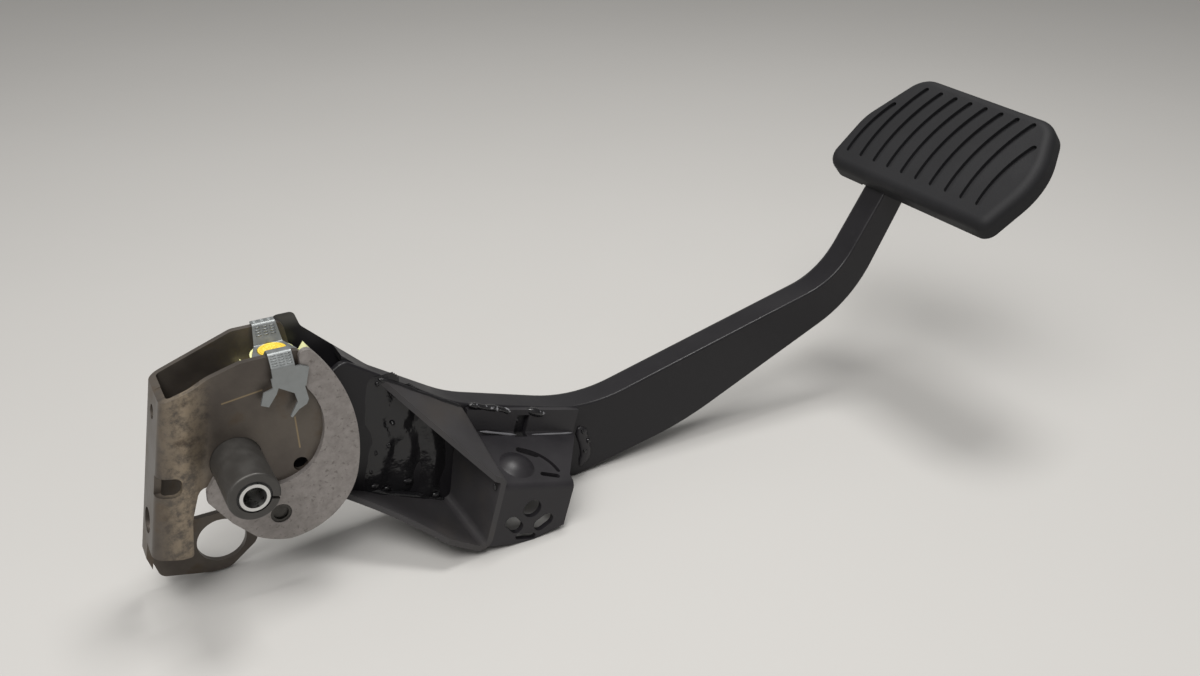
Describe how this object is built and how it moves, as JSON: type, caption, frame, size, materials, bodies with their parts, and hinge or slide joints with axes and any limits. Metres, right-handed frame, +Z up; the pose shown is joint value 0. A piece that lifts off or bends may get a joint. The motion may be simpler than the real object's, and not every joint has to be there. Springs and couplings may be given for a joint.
{
  "type": "brake pedal",
  "caption": "Car brake pedal: curved hollow steel lever with a grooved rubber pad, a pivot tube and sleeve, a folded push-rod bracket with ball socket and clip, and a switch bracket.",
  "frame": {"origin": "on the pivot axis, in the middle plane of the lever arm", "axes": "+X from the pivot towards the pad, +Y along the pivot axis away from the switch bracket, +Z up as the pedal lies on its lower edge"},
  "size_m": [0.401, 0.1109, 0.1509],
  "materials": {
    "black_paint": "satin black dip paint",
    "pad_rubber": "matt black rubber",
    "tube_steel": "dark grey coated steel",
    "liner_plastic": "black acetal",
    "sleeve_steel": "bright turned steel",
    "brown_steel": "brown oiled steel",
    "hook_steel": "speckled grey steel",
    "rivet_steel": "dark steel",
    "shell_plastic": "pale yellow nylon",
    "cup_plastic": "yellow acetal",
    "clip_steel": "zinc plated spring steel"
  },
  "bodies": {
    "pedal": {"lever_plate": "black_paint", "lever_channel": "black_paint", "gusset": "black_paint", "switch_bracket": "black_paint", "dome_rivet": "black_paint", "pad_plate": "black_paint", "pad_rubber": "pad_rubber", "pivot_tube": "tube_steel", "liner_near": "liner_plastic", "liner_far": "liner_plastic", "link_bracket": "brown_steel", "hook_plate": "hook_steel", "hook_rivet": "rivet_steel", "socket_shell": "shell_plastic", "socket_cup": "cup_plastic", "spring_clip": "clip_steel"},
    "sleeve": {"spacer_sleeve": "sleeve_steel"}
  },
  "joints": [
    {"name": "sleeve_spin", "type": "hinge", "parent": "pedal", "child": "sleeve", "pos_m": [0, 0, 0], "axis": [0, 1, 0], "continuous": true}
  ]
}
